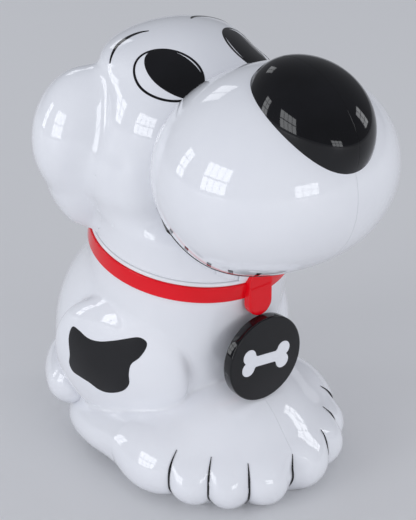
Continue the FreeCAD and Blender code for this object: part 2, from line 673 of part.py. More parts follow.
# Battery case with three small cells, contacts and a hinged door
case_block = box("case_block", "2 * (case_half_long + case_wall)",
                 "2 * (case_half_wide + case_wall)", "case_high",
                 "-case_half_long - case_wall", "-case_half_wide - case_wall", plate_top,
                 neck=True)
case_space = box("case_space", "2 * case_half_long", "2 * case_half_wide",
                 "case_high - case_wall", "-case_half_long", "-case_half_wide", plate_top,
                 neck=True)
piece(cut("case_walls", case_block, case_space), "battery_case")
cell_start = "case_half_long - contact_thick - button_long - close_gap - cell_length"
cell_up = "rim_height + lid_gap + cell_rise"
cells = []
contacts = []
for i in range(int(size("cell_count"))):
    row_back = "cell_pitch * %g" % (i - (size("cell_count") - 1) / 2)
    cells.append(cylinder("cell_%d" % i, "cell_radius", "cell_length", x=cell_start, y=row_back,
                          z=cell_up, turn=ALONG_X, neck=True))
    contacts.append(cylinder("button_%d" % i, "contact_radius", "button_long",
                             x="case_half_long - contact_thick - button_long", y=row_back,
                             z=cell_up, turn=ALONG_X, neck=True))
    contacts.append(cylinder("spring_%d" % i, "contact_radius",
                             "%s - close_gap + case_half_long - contact_thick" % cell_start,
                             x="-case_half_long + contact_thick", y=row_back, z=cell_up,
                             turn=ALONG_X, neck=True))
cell_group = doc.addObject("Part::Compound", "cell_group")
cell_group.Links = cells
piece(cell_group, "battery_cells")
strip_wide = "cell_pitch * (cell_count - 1) + 2 * contact_radius"
for end, start in ((0, "-case_half_long"), (1, "case_half_long - contact_thick")):
    contacts.append(box("strip_%d" % end, "contact_thick", strip_wide, "2 * contact_radius",
                        start, "-(%s) / 2" % strip_wide, cell_up + " - contact_radius",
                        neck=True))
piece(fuse("contact_group", contacts), "battery_contacts")

door_up = plate_bottom + " - door_sink"
door_leaf = box("door_leaf", "2 * (case_half_long - door_gap)", "2 * (case_half_wide - door_gap)",
                "door_thick", "-case_half_long + door_gap", "-case_half_wide + door_gap", door_up,
                neck=True)
arm_back = "case_half_wide - door_gap"
door_arm = box("door_arm", "arm_wide", "2 * hinge_reach", "arm_thick", "-arm_wide / 2",
               arm_back + " - hinge_reach", door_up + " - arm_thick", neck=True)
door_barrel = cylinder("door_barrel", "barrel_radius", "arm_wide", x="-arm_wide / 2",
                       y=hinge_back, z=hinge_up, turn=ALONG_X, neck=True)
pivot_long = "arm_wide + 2 * (lug_gap + lug_thick)"
door_pivot = cylinder("door_pivot", "pivot_radius", pivot_long, x="-(%s) / 2" % pivot_long,
                      y=hinge_back, z=hinge_up, turn=ALONG_X, neck=True)
piece(fuse("door_whole", [door_leaf, door_arm, door_barrel, door_pivot]), "battery_door")

# Speaker behind the mouth, on a bracket that stands on the lid base
speaker = turned("speaker", [
    ("basket_radius - cone_wall * 2", "0"),
    ("speaker_radius", "0"),
    ("speaker_radius", "speaker_lip"),
    ("basket_radius", "speaker_lip"),
    ("basket_back_radius", "speaker_lip + basket_depth"),
    ("basket_back_radius", "speaker_lip + basket_depth + magnet_depth"),
    ("0", "speaker_lip + basket_depth + magnet_depth"),
    ("0", "speaker_lip + basket_depth"),
    ("basket_back_radius - cone_wall * 2", "speaker_lip + basket_depth"),
    ("basket_radius - cone_wall * 2", "speaker_lip"),
])
SPEAKER_AT = {"y": "speaker_front", "z": plate_top + " + speaker_up", "turn": TO_THE_BACK}
piece(place(speaker, neck=True, **SPEAKER_AT), "speaker_driver")
cone_edge = "basket_radius - cone_wall * 2 - close_gap"
cone = turned("cone", [
    (cone_edge + " - cone_wall", "0"),
    (cone_edge, "0"),
    (cone_edge, "cone_wall"),
    ("dust_cap_radius", "speaker_lip + basket_depth - close_gap"),
    ("0", "speaker_lip + basket_depth - close_gap"),
    ("0", "speaker_lip + basket_depth - close_gap - cone_wall"),
    ("dust_cap_radius - cone_wall", "speaker_lip + basket_depth - close_gap - cone_wall"),
])
piece(place(cone, neck=True, **SPEAKER_AT), "speaker_cone")
bracket_back = "speaker_front + speaker_lip"
bracket_plate = box("bracket_plate", "2 * bracket_half_wide", "bracket_thick", "bracket_high",
                    "-bracket_half_wide", bracket_back, plate_top, neck=True)
bracket_foot = box("bracket_foot", "2 * bracket_half_wide", "bracket_thick + bracket_foot",
                   "bracket_thick", "-bracket_half_wide", bracket_back, plate_top, neck=True)
bracket_form = fuse("bracket_form", [bracket_plate, bracket_foot])
bracket_hole = cylinder("bracket_hole", "basket_radius + fit_gap", "bracket_thick * 3",
                        y=bracket_back + " - bracket_thick", z=plate_top + " + speaker_up",
                        turn=TO_THE_BACK, neck=True)
bracket_cuts = fuse("bracket_cuts", [bracket_hole]
                    + bracket_pins("foot_drill", "screw_radius + screw_slack",
                                   "3 * bracket_thick", plate_top))
piece(cut("bracket_whole", bracket_form, bracket_cuts), "speaker_bracket")
foot_middle = "speaker_front + speaker_lip + bracket_thick + bracket_foot / 2"
bracket_places = [("%d * bracket_screw_out" % side, foot_middle) for side in (-1, 1)]
screws("bracket_screw", "bracket_screws", bracket_places, "screw_head_radius",
       "screw_head_high", "screw_radius", "bracket_thick + plate_thick",
       plate_top + " + bracket_thick + screw_head_high", neck=True, head_down=False)

# Sound board on its posts, with its chip and screws
board_up = plate_top + " + post_high"
board_blank = box("board_blank", "2 * board_half_wide", "board_far - board_near", "board_thick",
                  "-board_half_wide", "board_near", board_up, neck=True)
board_drill = fuse("board_drill", board_posts("board_hole", "screw_radius + screw_slack",
                                              "3 * board_thick", board_up + " - board_thick"))
piece(cut("board_whole", board_blank, board_drill), "sound_board")
board_middle = "(board_near + board_far) / 2"
piece(box("chip", "chip_side", "chip_side", "chip_high", "-chip_side / 2",
          board_middle + " - chip_side / 2", board_up + " + board_thick", neck=True),
      "sound_chip")
board_places = [("%d * post_out" % side, where) for side in (-1, 1)
                for where in ("board_near + post_inset", "board_far - post_inset")]
screws("board_screw", "board_screws", board_places, "screw_head_radius", "screw_head_high",
       "screw_radius", "board_thick + post_high - wall",
       board_up + " + board_thick + screw_head_high", neck=True, head_down=False)

# Light sensor that wakes the sound when the lid comes off, and the power switch
sensor_lens = cylinder("sensor_lens", "sensor_radius", "plate_thick", x="-sensor_out",
                       z=plate_bottom, neck=True)
sensor_cap = cylinder("sensor_cap", "sensor_flange", "sensor_flange_high", x="-sensor_out",
                      z=plate_top, neck=True)
piece(fuse("sensor_whole", [sensor_lens, sensor_cap]), "light_sensor")
switch_block = box("switch_block", "2 * switch_half_wide", "2 * switch_half_long", "switch_high",
                   "switch_out - switch_half_wide", "-switch_half_long", plate_top, neck=True)
switch_room = box("switch_room", "2 * slot_half_wide", "2 * slot_half_long",
                  "knob_rise + fit_gap", "switch_out - slot_half_wide", "-slot_half_long",
                  plate_top, neck=True)
piece(cut("switch_case", switch_block, switch_room), "switch_body")
piece(box("knob", "2 * knob_half_wide", "knob_long", "knob_drop + plate_thick + knob_rise",
          "switch_out - knob_half_wide", "-slot_half_long + knob_end_gap",
          plate_bottom + " - knob_drop", neck=True), "switch_knob")

doc.recompute()

# Check every object before anything is written
faults = []
for item in doc.Objects:
    if "Invalid" in item.State or "Error" in item.State:
        faults.append("%s: %s" % (item.Name, item.State))
for item in PIECES:
    shape = item.Shape
    if shape.isNull() or not shape.isValid() or not shape.Solids:
        faults.append("%s has no sound solid" % item.Label)
if faults:
    raise SystemExit("\n".join(faults))

os.makedirs("parts", exist_ok=True)
for item in PIECES:
    item.Shape.exportStep(os.path.join("parts", item.Label + ".step"))
    bounds = item.Shape.BoundBox
    print("%-18s solids %2d volume %9.0f  x %7.1f %7.1f  y %7.1f %7.1f  z %7.1f %7.1f" % (
        item.Label, len(item.Shape.Solids), item.Shape.Volume, bounds.XMin, bounds.XMax,
        bounds.YMin, bounds.YMax, bounds.ZMin, bounds.ZMax))
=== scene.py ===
import json
import math

import bmesh
import bpy
import numpy as np
from mathutils import Matrix, Vector


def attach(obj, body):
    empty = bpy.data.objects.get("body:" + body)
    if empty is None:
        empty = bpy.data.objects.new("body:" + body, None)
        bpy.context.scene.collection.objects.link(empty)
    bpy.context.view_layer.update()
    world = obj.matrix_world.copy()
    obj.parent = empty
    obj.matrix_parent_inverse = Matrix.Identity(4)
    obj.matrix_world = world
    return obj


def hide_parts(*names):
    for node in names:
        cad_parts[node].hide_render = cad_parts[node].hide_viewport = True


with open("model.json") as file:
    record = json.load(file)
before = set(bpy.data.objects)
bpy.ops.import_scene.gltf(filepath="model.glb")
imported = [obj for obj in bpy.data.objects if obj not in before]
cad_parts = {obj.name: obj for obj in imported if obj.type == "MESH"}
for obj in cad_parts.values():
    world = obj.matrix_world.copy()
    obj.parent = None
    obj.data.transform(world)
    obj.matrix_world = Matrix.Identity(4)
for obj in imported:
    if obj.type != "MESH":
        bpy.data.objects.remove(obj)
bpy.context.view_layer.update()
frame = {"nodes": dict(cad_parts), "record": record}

# Lengths in this script are millimetres, and each mesh is scaled to metres when it is made.
MM = 0.001

# The neck: its seam height, its backward lean and its radii
NECK_HEIGHT = 151.0
NECK_LEAN = math.radians(10.3)
NECK_RADIUS = 61.8
HEAD_SEAM = 2.9
NECK_UP = np.array([0.0, -math.sin(NECK_LEAN), math.cos(NECK_LEAN)])
NECK_BACK = np.array([0.0, math.cos(NECK_LEAN), math.sin(NECK_LEAN)])
NECK_PLACE = Matrix.Translation((0, 0, NECK_HEIGHT)) @ Matrix.Rotation(NECK_LEAN, 4, "X")

# Each rounded form: its centre, its half sizes, and its lean, roll and turn in degrees.
# Forms off the middle plane are given on the left side (+X) and mirrored.
FORMS = {
    "belly": ((0, 33.5, 64), (67.6, 68.3, 80), (0, 0, 0)),
    "haunch": ((54.3, 3.5, 73.5), (15.6, 48, 43.9), (-11.4, 3.6, -21.1)),
    "heel": ((53.5, 4, 24), (23, 53, 18.5), (-9, 0, 3)),
    "chest": ((0, -40, 22), (58, 54, 46), (0, 0, 0)),
    "cranium": ((0, 22.8, 262.5), (44.7, 26.2, 12.6), (7.1, 0, 0)),
    "skull": ((0, -3.2, 227.5), (60.2, 54.3, 46.8), (0, 0, 0)),
    "cheek": ((41.2, 3.4, 196.9), (27.1, 37.8, 29.1), (0, 0, 0)),
    "muzzle": ((0, -76.9, 220.2), (73.8, 69.6, 59.8), (-9.5, 0, 0)),
    "nose": ((0, -103.3, 253.3), (41, 45.9, 36.7), (24.8, 0, 0)),
    "nose_rim": ((0, -105.4, 262.3), (35.3, 47, 1000), (28.6, 0, 0)),
    "ear": ((55.6, 40, 219.4), (26.7, 27, 37.7), (0, -20, 0)),
    "lobe": ((63.4, 40, 188.4), (12, 20, 33.4), (0, 14.4, 0)),
}
# The front feet: a round edge along half an oval, drawn in where the toes part. Towards the
# sides its height and its thickness change by these amounts, up to the angle given.
PAD = {"back": -38, "half_wide": 63, "reach": 54, "up": 16.8, "edge": 14.9, "rise": 2.5,
       "thin": 2, "until": 60}
# Where the toes part, in degrees round the pad from its front, and where the last toe ends
TOE_GAPS = (0, 26, 47, 69, 108)
# How strongly a gap draws the pad in, how blunt it is, and the levels between which it fades
TOE_DRAW = 12
TOE_ROUND = 1.25
TOE_FADE = (20, 38)
# The middle gap is this much deeper, over about this many degrees, and behind the last toe the
# pad is drawn in by this much for each degree
MIDDLE_DRAW = 7
MIDDLE_WIDE = 7
BACK_DRAW = 0.4
# The muzzle is a little fuller low on each side: where, how much and how widely
JOWL = {"place": (50, -82, 172.5), "rise": 3.6, "spread": 32}
# Above the shoulder's level the torso is no wider than the neck, and below it spreads by at most
# 45 degrees. Its barrel runs along the neck's axis, up from the second of these levels.
SHOULDER_LEVEL = -11.3
BARREL_END = -105
# The foot of the head is as wide as the neck up to its top, where a dome of this height closes
# it. The two overlap, as the dome begins a little lower.
NAPE = {"top": 20.6, "dome": 30.0, "from": 19.6}
# The tail: an arc round its centre, from start to end in degrees, and its radius at each end
TAIL = {"centre": (0, 26, 40), "curl": 64, "start": 95, "end": 157, "root": 15, "tip": 16}
# The wall of the shells
WALL = 2.2
# The size of the fillet, or of the rounded edge, where forms meet
FILLETS = {"barrel": 14, "shoulder": 3, "pad": 18, "heel": 24, "haunch": 4, "feet": 3,
           "cranium": 22, "cheek": 16, "nape": 9, "lobe": 6, "ear": 12, "nose": 14}
# How deep the glued pieces reach into what carries them
SUNK = {"tail": 1, "ear": 1.2, "muzzle": 5, "nose": 4}
# An ear's fillet: how far inside the head's surface it ends, how far out it spreads, and how far
# above the head's seam it stays
EAR_FILM = 0.04
EAR_SPREAD = 11.5
EAR_CLEAR = 0.2


# Fields: each gives how far points lie outside a form, and is negative inside it
def turned(lean, roll, turn):
    turn, roll, lean = (math.radians(angle) for angle in (turn, roll, lean))
    spin = Matrix.Rotation(turn, 3, "Z") @ Matrix.Rotation(roll, 3, "Y")
    return np.array(spin @ Matrix.Rotation(lean, 3, "X"))


def oval(local, radii):
    """About the distance to an ellipsoid at the origin."""
    radii = np.array(radii, float)
    near = np.linalg.norm(local / radii, axis=-1)
    slope = np.linalg.norm(local / radii ** 2, axis=-1) + 1e-9
    return near * (near - 1) / slope


def egg(points, name):
    centre, radii, angles = FORMS[name]
    return oval((points - np.array(centre)) @ turned(*angles), radii)


def join(a, b, reach):
    """Two forms as one, with a fillet between them."""
    overlap = np.clip(reach - np.abs(a - b), 0, None) / reach
    return np.minimum(a, b) - overlap ** 2 * reach / 4


def meet(a, b, reach):
    """What two forms share, with a rounded edge."""
    return -join(-a, -b, reach)


def folded(points):
    """The points moved to the left side, for forms that come in pairs."""
    return np.abs(points) * (1, 0, 0) + points * (0, 1, 1)


def on_neck(points):
    """Radius and level of points along the leaning neck."""
    local = points - np.array([0, 0, NECK_HEIGHT])
    return np.hypot(local[..., 0], local @ NECK_BACK), local @ NECK_UP


def pad_place(points):
    """The degrees round the pad from its front, at points on the left side."""
    return np.degrees(np.arctan2(points[..., 0] / PAD["half_wide"],
                                 (PAD["back"] - points[..., 1]) / PAD["reach"]))


def toe_draw(points):
    """How far the pad is drawn in between the toes."""
    angle = np.clip(pad_place(points), TOE_GAPS[0], TOE_GAPS[-1] - 1e-6)
    toe = np.searchsorted(TOE_GAPS, angle, "right") - 1
    gaps = np.array(TOE_GAPS, float)
    across = 2 * (angle - gaps[toe]) / (gaps[toe + 1] - gaps[toe]) - 1
    low, high = TOE_FADE
    share = np.clip((high - points[..., 2]) / (high - low), 0, 1)
    behind = np.clip(pad_place(points) - TOE_GAPS[-1], 0, None) * BACK_DRAW
    dip = math.sqrt(TOE_ROUND) - np.sqrt(TOE_ROUND - across ** 2)
    middle = MIDDLE_DRAW * np.exp(-(angle / MIDDLE_WIDE) ** 2)
    return (TOE_DRAW * dip + middle) * share ** 2 * (3 - 2 * share) + behind


def pad(points):
    across = points[..., :2] - np.array([0, PAD["back"]])
    outside = np.clip(oval(across, (PAD["half_wide"], PAD["reach"])), 0, None)
    aside = np.clip(pad_place(points) / PAD["until"], 0, 1)
    height = points[..., 2] - PAD["up"] - PAD["rise"] * aside
    return np.hypot(outside, height) - PAD["edge"] + PAD["thin"] * aside + toe_draw(points)


def body(points):
    near = folded(points)
    radius, level = on_neck(near)
    edge = radius - NECK_RADIUS
    barrel = np.maximum(edge, BARREL_END - level)
    torso = join(egg(near, "belly"), barrel, FILLETS["barrel"])
    slope = (edge + level - SHOULDER_LEVEL) / math.sqrt(2)
    torso = meet(torso, np.minimum(edge, slope), FILLETS["shoulder"])
    paws = join(egg(near, "chest"), pad(near), FILLETS["pad"])
    lower = join(paws, egg(near, "heel"), FILLETS["heel"])
    upper = join(torso, egg(near, "haunch"), FILLETS["haunch"])
    return join(upper, lower, FILLETS["feet"])


def tail_curl(points):
    local = points - np.array(TAIL["centre"])
    low, high = math.radians(TAIL["start"]), math.radians(TAIL["end"])
    angle = np.clip(np.arctan2(local[..., 1], local[..., 0]), low, high)
    nearest = TAIL["curl"] * np.stack([np.cos(angle), np.sin(angle), 0 * angle], -1)
    share = (angle - low) / (high - low)
    radius = TAIL["root"] + (TAIL["tip"] - TAIL["root"]) * share
    return np.linalg.norm(local - nearest, axis=-1) - radius


def tail(points):
    return np.maximum(tail_curl(points), -SUNK["tail"] - body(points))


def head(points):
    near = folded(points)
    skull = join(egg(near, "cranium"), egg(near, "skull"), FILLETS["cranium"])
    skull = join(skull, egg(near, "cheek"), FILLETS["cheek"])
    radius, level = on_neck(near)
    nape = np.maximum(radius - NECK_RADIUS, level - NAPE["top"])
    above = np.clip(level - NAPE["top"], 0, None)
    dome = oval(np.stack([radius, above], -1), (NECK_RADIUS, NAPE["dome"]))
    return join(skull, np.minimum(nape, np.maximum(dome, NAPE["from"] - level)), FILLETS["nape"])


def ear(points):
    """An ear with the fillet that joins it to the head."""
    near = folded(points)
    skull = np.maximum(head(points), HEAD_SEAM + EAR_CLEAR - on_neck(points)[1])
    lobes = join(egg(near, "ear"), egg(near, "lobe"), FILLETS["lobe"])
    whole = join(skull + EAR_FILM, lobes, FILLETS["ear"])
    return np.maximum(np.maximum(whole, -SUNK["ear"] - skull), lobes - skull - EAR_SPREAD)


def muzzle_egg(points):
    away = np.linalg.norm(folded(points) - np.array(JOWL["place"]), axis=-1)
    return egg(points, "muzzle") - JOWL["rise"] * np.exp(-(away / JOWL["spread"]) ** 2)


def muzzle(points):
    return np.maximum(muzzle_egg(points), -SUNK["muzzle"] - head(points))


def nose(points):
    block = meet(egg(points, "nose"), egg(points, "nose_rim"), FILLETS["nose"])
    return np.maximum(block, -SUNK["nose"] - muzzle_egg(points))


# The slotted lip on the neck, under the muzzle
LIP = {"proud": 1.6, "lean": math.radians(-26), "back": -61.4, "up": 142.0, "deep": 7.0,
       "end": 46, "slot_step": 14, "slot_wide": 3.4, "slot_deep": 2.4, "edge": 1,
       "end_edge": 1.5, "sunk": 0.6}


def lip(points):
    radius, _ = on_neck(points)
    local = points - np.array([0, LIP["back"], LIP["up"]])
    depth = local @ np.array([0, math.cos(LIP["lean"]), math.sin(LIP["lean"])])
    front = -(points - np.array([0, 0, NECK_HEIGHT])) @ NECK_BACK
    angle = np.degrees(np.arctan2(points[..., 0], front))
    band = meet(radius - NECK_RADIUS - LIP["proud"], depth, LIP["edge"])
    band = meet(band, -LIP["deep"] - depth, LIP["edge"])
    band = meet(band, (np.abs(angle) - LIP["end"]) * math.radians(1) * radius, LIP["end_edge"])
    off = angle - LIP["slot_step"] * np.round(angle / LIP["slot_step"])
    slot = np.abs(off) * math.radians(1) * radius - LIP["slot_wide"] / 2
    band = np.maximum(band, -np.maximum(slot, -LIP["slot_deep"] - depth))
    return np.maximum(band, NECK_RADIUS - LIP["sunk"] - radius)


# The longest moves in one round towards a zero level, and the least slope that a cast counts on
SETTLE_STEP = 3
CAST_STEP = 6
CAST_SLOPE = 0.15


def slope_of(field, points, step=0.02):
    """The outward direction of a field at points."""
    shifts = np.eye(3) * step
    slope = np.stack([field(points + s) - field(points - s) for s in shifts], -1) / (2 * step)
    length = np.linalg.norm(slope, axis=-1, keepdims=True)
    return slope / (length + 1e-9), length[..., 0]


def settle(field, points, rounds=3):
    """The points moved on to the zero level of a field."""
    for _ in range(rounds):
        outward, length = slope_of(field, points)
        move = np.clip(field(points) / (length + 1e-9), -SETTLE_STEP, SETTLE_STEP)
        points = points - outward * move[..., None]
    return points


def cast(field, points, direction, rounds=14):
    """The points moved along one direction on to the zero level of a field."""
    direction = np.array(direction, float) / np.linalg.norm(direction)
    for _ in range(rounds):
        outward, length = slope_of(field, points)
        pace = np.clip((outward @ direction) * length, None, -CAST_SLOPE)
        move = np.clip(field(points) / pace, -CAST_STEP, CAST_STEP)
        points = points - move[..., None] * direction
    return points


# The box and the step of the grid on which each form is worked out
GRIDS = {
    "body": ((-84, -114, -6), (5, 108, 168), 1.25),
    "tail": ((-80, 30, 20), (18, 110, 60), 1.5),
    "head": ((-74, -66, 134), (74, 76, 288), 1.5),
    "ear": ((-94, -10, 140), (-8, 90, 282), 1.2),
    "muzzle": ((-78, -152, 152), (5, -2, 284), 1.6),
    "nose": ((-40, -150, 218), (5, -58, 292), 1.2),
    "lip": ((-50, -66, 140), (50, -38, 184), 0.6),
    "tab": ((-10, -68, 115), (10, -58, 150), 0.7),
    "bone": ((-22, -74, 76), (22, -69, 102), 0.4),
}
# How far past its rim, and past the middle plane, a shell is worked out before it is trimmed
PAST_RIM = 4
PAST_MIDDLE = 3


def surface(field, low, high, step):
    """Points and quads of the zero level: one point in each grid cell that it crosses."""
    low = np.array(low, float)
    counts = np.ceil((np.array(high) - low) / step).astype(int) + 1
    axes = [low[i] + step * np.arange(counts[i]) for i in range(3)]
    value = np.empty(counts)
    for i, across in enumerate(axes[0]):
        layer = np.stack(np.meshgrid([across], axes[1], axes[2], indexing="ij"), -1)
        value[i] = field(layer)[0]
    corners, crossings, quads = [], [], []
    for axis in range(3):
        first = np.take(value, range(counts[axis] - 1), axis)
        second = np.take(value, range(1, counts[axis]), axis)
        where = np.argwhere((first < 0) != (second < 0))
        before, after = first[tuple(where.T)], second[tuple(where.T)]
        point = where.astype(float)
        point[:, axis] += before / (before - after)
        u, v = (axis + 1) % 3, (axis + 2) % 3
        ring = []
        for back_u, back_v in ((1, 1), (0, 1), (0, 0), (1, 0)):
            cell = where.copy()
            cell[:, u] -= back_u
            cell[:, v] -= back_v
            ring.append(np.ravel_multi_index(cell.T, counts))
            corners.append(ring[-1])
            crossings.append(point)
        ring = np.stack(ring, 1)
        quads.append(np.where((before < 0)[:, None], ring, ring[:, ::-1]))
    used, index = np.unique(np.concatenate(corners), return_inverse=True)
    crossings = np.concatenate(crossings)
    hits = np.bincount(index)
    centres = np.stack([np.bincount(index, crossings[:, i]) / hits for i in range(3)], -1)
    points = settle(field, low + step * centres)
    return points, np.searchsorted(used, np.concatenate(quads))


# Meshes
def cut_off(bm, point, normal, clear=True):
    """Trim a mesh with a plane, keeping the side that the normal points away from."""
    everything = bm.verts[:] + bm.edges[:] + bm.faces[:]
    bmesh.ops.bisect_plane(bm, geom=everything, plane_co=Vector(point), plane_no=Vector(normal),
                           clear_outer=clear, dist=1e-5)


def as_bmesh(points, faces):
    mesh = bpy.data.meshes.new("work")
    mesh.from_pydata(points.tolist(), [], faces.tolist())
    bm = bmesh.new()
    bm.from_mesh(mesh)
    bpy.data.meshes.remove(mesh)
    return bm


def arrays(bm):
    bm.verts.index_update()
    bm.normal_update()
    points = np.array([v.co for v in bm.verts])
    normals = np.array([v.normal for v in bm.verts])
    faces = [[v.index for v in f.verts] for f in bm.faces]
    return points, normals, faces


def thicken(points, normals, faces, wall, planes, floor=None):
    """Give an open skin an inner face, and close the rim between them."""
    inward = normals.copy()
    for point, normal in planes:
        normal = np.array(normal, float)
        on_plane = np.abs((points - point) @ normal) < 1e-3
        inward[on_plane] -= np.outer(inward[on_plane] @ normal, normal)
    inward /= np.linalg.norm(inward, axis=1, keepdims=True) + 1e-9
    inner = points - wall * inward
    if floor is not None:
        inner[:, 2] = np.maximum(inner[:, 2], floor)
    count = len(points)
    edges = {(a, b) for face in faces for a, b in zip(face, face[1:] + face[:1])}
    rim = [[b, a, a + count, b + count] for a, b in edges if (b, a) not in edges]
    inside = [[i + count for i in reversed(face)] for face in faces]
    return np.concatenate([points, inner]), faces + inside + sorted(rim)


# Shading follows a field where a point lies this near its surface and the face agrees this well
# with its direction. Elsewhere it is flat, or smooth up to this angle in degrees.
SKIN_NEAR = 0.06
SKIN_AGREE = 0.6
SHARP_ANGLE = 40


def make(name, points, faces, field=None):
    """An object in metres; where a field is given, its own slope gives the shading."""
    mesh = bpy.data.meshes.new(name)
    mesh.from_pydata((points * MM).tolist(), [], faces)
    mesh.polygons.foreach_set("use_smooth", [True] * len(faces))
    if field is None:
        mesh.set_sharp_from_angle(angle=math.radians(SHARP_ANGLE))
    else:
        shade_by(mesh, points, field)
    item = bpy.data.objects.new(name, mesh)
    bpy.context.scene.collection.objects.link(item)
    return item


def shade_by(mesh, points, field):
    mesh.update()
    totals = np.zeros(len(mesh.polygons), int)
    mesh.polygons.foreach_get("loop_total", totals)
    flat = np.zeros(len(mesh.polygons) * 3)
    mesh.polygons.foreach_get("normal", flat)
    corner = np.zeros(len(mesh.loops), int)
    mesh.loops.foreach_get("vertex_index", corner)
    face_normals = np.repeat(flat.reshape(-1, 3), totals, axis=0)
    outward, _ = slope_of(field, points)
    on_skin = np.abs(field(points)) < SKIN_NEAR
    agree = (outward[corner] * face_normals).sum(1) > SKIN_AGREE
    chosen = np.where((on_skin[corner] & agree)[:, None], outward[corner], face_normals)
    mesh.normals_split_custom_set(chosen.tolist())


def finish_piece(item, body_name, slot, *nodes):
    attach(item, body_name)
    item.data.materials.clear()
    item.data.materials.append(material(slot))
    if nodes:
        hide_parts(*nodes)
    return item


# A seam on the middle plane: half its gap, how far from the plane its drawn-in edge begins, and
# its depth on the muzzle and nose, and on the body
SEAM_GAP = 0.05
SEAM_EDGE = 0.45
SEAM_DEPTH = 0.1
BODY_SEAM_DEPTH = 0.02


def groove(bm, depth=SEAM_DEPTH):
    """Draw the edge at the middle plane in a little, so that a fine seam shows."""
    cut_off(bm, (-SEAM_GAP, 0, 0), (1, 0, 0))
    cut_off(bm, (-SEAM_EDGE, 0, 0), (1, 0, 0), clear=False)
    bm.normal_update()
    for vert in bm.verts:
        if vert.co.x > -SEAM_GAP - 1e-3:
            shift = Vector((0, vert.normal.y, vert.normal.z)).normalized() * depth
            vert.co -= shift


# The plane on which a right half ends: a point of it and its normal
MIDDLE = ((-SEAM_GAP, 0, 0), (1, 0, 0))


def pair(name, field, points, faces, body_name, slot):
    """The right piece and its mirror image on the left."""
    for side, sign in (("right", 1), ("left", -1)):
        turned_faces = faces if sign == 1 else [face[::-1] for face in faces]
        item = make("%s_%s_skin" % (name, side), points * (sign, 1, 1), turned_faces, field)
        finish_piece(item, body_name, slot, "%s_%s" % (name, side))


# The round hatch in the base: its place, its radius and the steps of its half circle
HATCH = {"back": 12.0, "radius": 46.3, "arc_steps": 48}


def close_base(bm):
    """Fill the flat underside between the outline and the round hatch."""
    bm.edges.ensure_lookup_table()
    chain = [e for e in bm.edges if e.is_boundary and all(abs(v.co.z) < 1e-3 for v in e.verts)]
    links = {}
    for edge in chain:
        for vert, other in (edge.verts, reversed(edge.verts)):
            links.setdefault(vert, []).append(other)
    ends = sorted((v for v in links if len(links[v]) == 1), key=lambda v: v.co.y)
    loop, last = [ends[0]], None
    while True:
        following = [v for v in links[loop[-1]] if v is not last]
        if not following:
            break
        last = loop[-1]
        loop.append(following[0])
    steps = HATCH["arc_steps"]
    for i in range(steps + 1):
        angle = math.pi / 2 + math.pi * i / steps
        x = min(HATCH["radius"] * math.cos(angle), -SEAM_GAP)
        loop.append(bm.verts.new((x, HATCH["back"] + HATCH["radius"] * math.sin(angle), 0)))
    base = bm.faces.new(loop)
    base.normal_update()
    if base.normal.z > 0:
        base.normal_flip()
    bmesh.ops.triangulate(bm, faces=[base])


def body_shells():
    def trimmed(points):
        _, level = on_neck(points)
        caps = np.maximum(level - PAST_RIM, -PAST_RIM - points[..., 2])
        return np.maximum(body(points), np.maximum(caps, points[..., 0] - PAST_MIDDLE))

    points, faces = surface(trimmed, *GRIDS["body"])
    bm = as_bmesh(points, faces)
    cut_off(bm, (0, 0, NECK_HEIGHT), NECK_UP)
    cut_off(bm, (0, 0, 0), (0, 0, -1))
    groove(bm, BODY_SEAM_DEPTH)
    close_base(bm)
    points, normals, faces = arrays(bm)
    planes = (MIDDLE, ((0, 0, NECK_HEIGHT), NECK_UP))
    points, faces = thicken(points, normals, faces, WALL, planes, 0.0)
    pair("body_shell", body, points, faces, "jar", "white_shell")


# Where the face shell and the back of the head meet, and half the gap between them
HEAD_SPLIT = 18
HEAD_SPLIT_GAP = 0.04


def head_shells():
    def trimmed(points):
        return np.maximum(head(points), -on_neck(points)[1])

    points, faces = surface(trimmed, *GRIDS["head"])
    seam = Vector((0, 0, NECK_HEIGHT)) + Vector(NECK_UP) * HEAD_SEAM
    for name, toward in (("head_front", 1), ("head_back", -1)):
        bm = as_bmesh(points, faces)
        cut_off(bm, seam, -NECK_UP)
        split = (0, HEAD_SPLIT - HEAD_SPLIT_GAP * toward, 0)
        cut_off(bm, split, (0, toward, 0))
        here, normals, kept = arrays(bm)
        planes = ((np.array(seam), NECK_UP), (split, (0, 1, 0)))
        here, kept = thicken(here, normals, kept, WALL, planes)
        item = make(name + "_skin", here, kept, head)
        finish_piece(item, "lid", "white_shell", name)


def ears():
    points, faces = surface(ear, *GRIDS["ear"])
    pair("ear", ear, points, faces.tolist(), "lid", "white_shell")


def halved(name, field, slot):
    """A form in two halves that meet on the middle plane."""
    def trimmed(points):
        return np.maximum(field(points), points[..., 0] - PAST_MIDDLE)

    points, faces = surface(trimmed, *GRIDS[name])
    bm = as_bmesh(points, faces)
    groove(bm)
    points, normals, faces = arrays(bm)
    points, faces = thicken(points, normals, faces, WALL, (MIDDLE,))
    pair(name, field, points, faces, "lid", slot)


def tail_piece():
    points, faces = surface(tail, *GRIDS["tail"])
    item = make("tail_skin", points, faces.tolist(), tail)
    finish_piece(item, "jar", "white_shell", "tail")


def mouth_lip():
    points, faces = surface(lip, *GRIDS["lip"])
    item = make("mouth_lip", points, faces.tolist())
    finish_piece(item, "lid", "white_shell", "mouth_grille")


